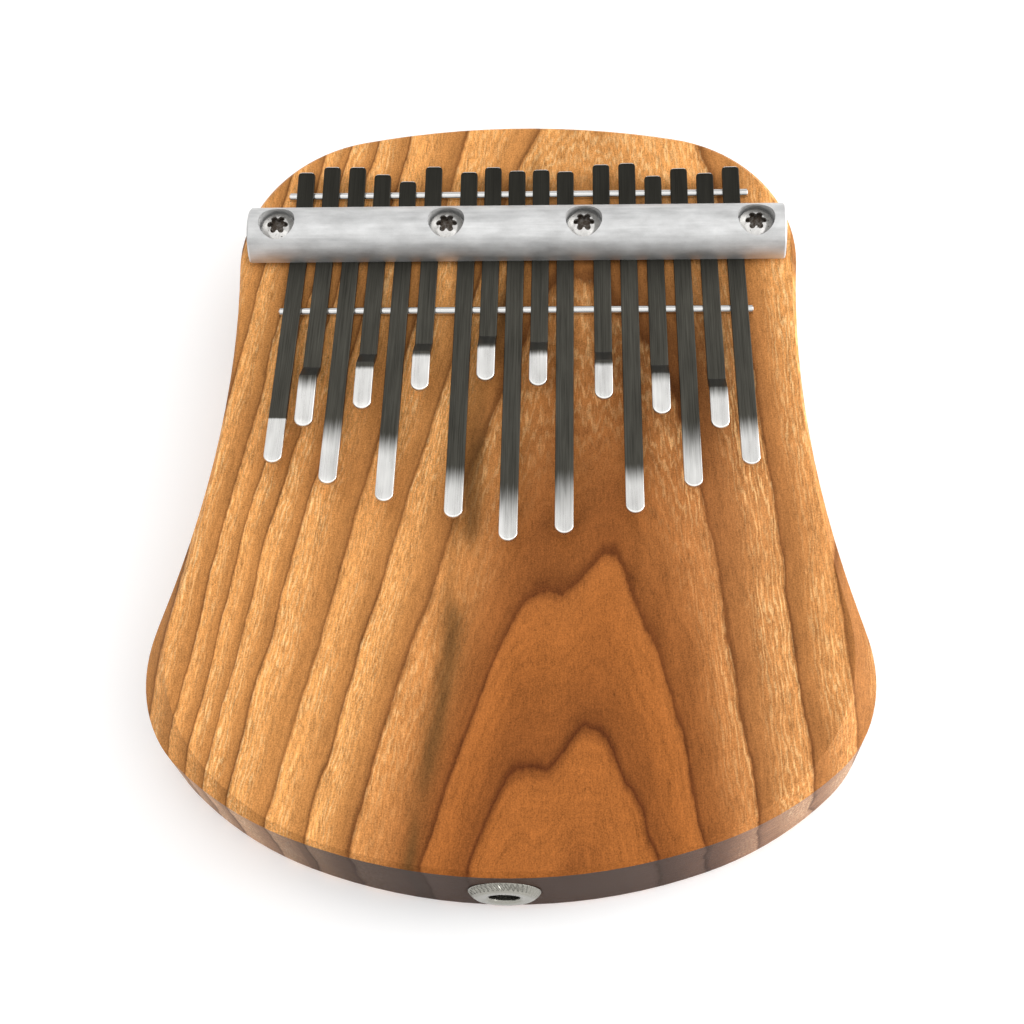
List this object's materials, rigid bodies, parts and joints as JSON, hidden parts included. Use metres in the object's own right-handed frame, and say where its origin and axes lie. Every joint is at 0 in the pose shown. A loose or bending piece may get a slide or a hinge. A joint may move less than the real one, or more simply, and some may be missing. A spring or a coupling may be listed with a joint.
{
  "type": "mbira",
  "caption": "Board-mounted thumb piano: steel tines clamped over two bridge rods by a half-round pressure bar, with a pickup jack in the lower edge.",
  "frame": {"origin": "middle of the board's flat underside", "axes": "+Z out of the playing face, +Y away from the player towards the tuning ends of the tines, +X to the player's right"},
  "size_m": [0.1536, 0.1853, 0.0347],
  "materials": {
    "cherry_wood": "oiled, satin, open grain",
    "tine_steel": "blued spring steel, brushed lengthwise, tips ground bright",
    "blasted_aluminium": "bead-blasted, satin",
    "stainless_screw": "stainless, bright",
    "polished_rod": "bright drawn stainless rod",
    "nickel": "nickel plate",
    "black_moulding": "matte moulding",
    "contact_bronze": "spring bronze",
    "pickup_brass": "rolled sheet",
    "pickup_ceramic": "silvered ceramic",
    "signal_insulation": "soft insulation",
    "ground_insulation": "soft insulation"
  },
  "bodies": {
    "root": {"board": "cherry_wood", "rear_bridge_rod": "polished_rod", "front_bridge_rod": "polished_rod", "pressure_bar": "blasted_aluminium", "pressure_bar_screws": "stainless_screw", "jack_sleeve": "nickel", "jack_nut": "nickel", "jack_insulator": "black_moulding", "jack_ground_lug": "nickel", "pickup_plate": "pickup_brass", "pickup_ceramic": "pickup_ceramic", "signal_lead": "signal_insulation", "ground_lead": "ground_insulation", "pocket_cover": "black_moulding", "cover_screws": "stainless_screw"},
    "tine_01": {"tine_01": "tine_steel"},
    "tine_02": {"tine_02": "tine_steel"},
    "tine_03": {"tine_03": "tine_steel"},
    "tine_04": {"tine_04": "tine_steel"},
    "tine_05": {"tine_05": "tine_steel"},
    "tine_06": {"tine_06": "tine_steel"},
    "tine_07": {"tine_07": "tine_steel"},
    "tine_08": {"tine_08": "tine_steel"},
    "tine_09": {"tine_09": "tine_steel"},
    "tine_10": {"tine_10": "tine_steel"},
    "tine_11": {"tine_11": "tine_steel"},
    "tine_12": {"tine_12": "tine_steel"},
    "tine_13": {"tine_13": "tine_steel"},
    "tine_14": {"tine_14": "tine_steel"},
    "tine_15": {"tine_15": "tine_steel"},
    "tine_16": {"tine_16": "tine_steel"},
    "tine_17": {"tine_17": "tine_steel"},
    "jack_tip_spring": {"jack_tip_spring": "contact_bronze"}
  },
  "joints": [
    {"name": "tine_01_flex", "type": "hinge", "parent": "root", "child": "tine_01", "pos_m": [-0.05134, 0.03249, 0.02834], "axis": [0.9998, -0.0223, 0], "range_deg": [-2.5, 3], "stiffness_Nm_per_rad": 3.75, "deforming": ["tine_01"]},
    {"name": "tine_02_flex", "type": "hinge", "parent": "root", "child": "tine_02", "pos_m": [-0.0451, 0.03371, 0.02826], "axis": [0.9998, -0.0196, 0], "range_deg": [-2.5, 3], "stiffness_Nm_per_rad": 4.662, "deforming": ["tine_02"]},
    {"name": "tine_03_flex", "type": "hinge", "parent": "root", "child": "tine_03", "pos_m": [-0.03892, 0.0317, 0.02839], "axis": [0.9999, -0.0169, 0], "range_deg": [-2.5, 3], "stiffness_Nm_per_rad": 3.324, "deforming": ["tine_03"]},
    {"name": "tine_04_flex", "type": "hinge", "parent": "root", "child": "tine_04", "pos_m": [-0.03266, 0.03438, 0.02822], "axis": [0.9999, -0.0142, 0], "range_deg": [-2.5, 3], "stiffness_Nm_per_rad": 5.391, "deforming": ["tine_04"]},
    {"name": "tine_05_flex", "type": "hinge", "parent": "root", "child": "tine_05", "pos_m": [-0.02649, 0.03104, 0.02843], "axis": [0.9999, -0.0115, 0], "range_deg": [-2.5, 3], "stiffness_Nm_per_rad": 3.038, "deforming": ["tine_05"]},
    {"name": "tine_06_flex", "type": "hinge", "parent": "root", "child": "tine_06", "pos_m": [-0.02023, 0.03508, 0.02818], "axis": [1, -0.0088, 0], "range_deg": [-2.5, 3], "stiffness_Nm_per_rad": 6.442, "deforming": ["tine_06"]},
    {"name": "tine_07_flex", "type": "hinge", "parent": "root", "child": "tine_07", "pos_m": [-0.01164, 0.03044, 0.02847], "axis": [1, -0.005, 0], "range_deg": [-2.5, 3], "stiffness_Nm_per_rad": 2.818, "deforming": ["tine_07"]},
    {"name": "tine_08_flex", "type": "hinge", "parent": "root", "child": "tine_08", "pos_m": [-0.00581, 0.03546, 0.02815], "axis": [1, -0.0025, 0], "range_deg": [-2.5, 3], "stiffness_Nm_per_rad": 7.188, "deforming": ["tine_08"]},
    {"name": "tine_09_flex", "type": "hinge", "parent": "root", "child": "tine_09", "pos_m": [0, 0.02959, 0.02852], "axis": [1, 0, 0], "range_deg": [-2.5, 3], "stiffness_Nm_per_rad": 2.558, "deforming": ["tine_09"]},
    {"name": "tine_10_flex", "type": "hinge", "parent": "root", "child": "tine_10", "pos_m": [0.00581, 0.03524, 0.02817], "axis": [1, 0.0025, 0], "range_deg": [-2.5, 3], "stiffness_Nm_per_rad": 6.721, "deforming": ["tine_10"]},
    {"name": "tine_11_flex", "type": "hinge", "parent": "root", "child": "tine_11", "pos_m": [0.01165, 0.02986, 0.0285], "axis": [1, 0.005, 0], "range_deg": [-2.5, 3], "stiffness_Nm_per_rad": 2.636, "deforming": ["tine_11"]},
    {"name": "tine_12_flex", "type": "hinge", "parent": "root", "child": "tine_12", "pos_m": [0.02023, 0.03471, 0.0282], "axis": [1, 0.0088, 0], "range_deg": [-2.5, 3], "stiffness_Nm_per_rad": 5.836, "deforming": ["tine_12"]},
    {"name": "tine_13_flex", "type": "hinge", "parent": "root", "child": "tine_13", "pos_m": [0.02649, 0.0306, 0.02846], "axis": [0.9999, 0.0115, 0], "range_deg": [-2.5, 3], "stiffness_Nm_per_rad": 2.875, "deforming": ["tine_13"]},
    {"name": "tine_14_flex", "type": "hinge", "parent": "root", "child": "tine_14", "pos_m": [0.03266, 0.03413, 0.02824], "axis": [0.9999, 0.0142, 0], "range_deg": [-2.5, 3], "stiffness_Nm_per_rad": 5.09, "deforming": ["tine_14"]},
    {"name": "tine_15_flex", "type": "hinge", "parent": "root", "child": "tine_15", "pos_m": [0.03892, 0.03156, 0.0284], "axis": [0.9999, 0.0169, 0], "range_deg": [-2.5, 3], "stiffness_Nm_per_rad": 3.262, "deforming": ["tine_15"]},
    {"name": "tine_16_flex", "type": "hinge", "parent": "root", "child": "tine_16", "pos_m": [0.0451, 0.03357, 0.02827], "axis": [0.9998, 0.0196, 0], "range_deg": [-2.5, 3], "stiffness_Nm_per_rad": 4.539, "deforming": ["tine_16"]},
    {"name": "tine_17_flex", "type": "hinge", "parent": "root", "child": "tine_17", "pos_m": [0.05134, 0.03239, 0.02834], "axis": [0.9998, 0.0223, 0], "range_deg": [-2.5, 3], "stiffness_Nm_per_rad": 3.688, "deforming": ["tine_17"]},
    {"name": "jack_tip_spring_flex", "type": "hinge", "parent": "root", "child": "jack_tip_spring", "pos_m": [0, -0.0748, 0.00715], "axis": [-1, 0, 0], "range_deg": [0, 5], "stiffness_Nm_per_rad": 0.4, "deforming": ["jack_tip_spring"]}
  ]
}
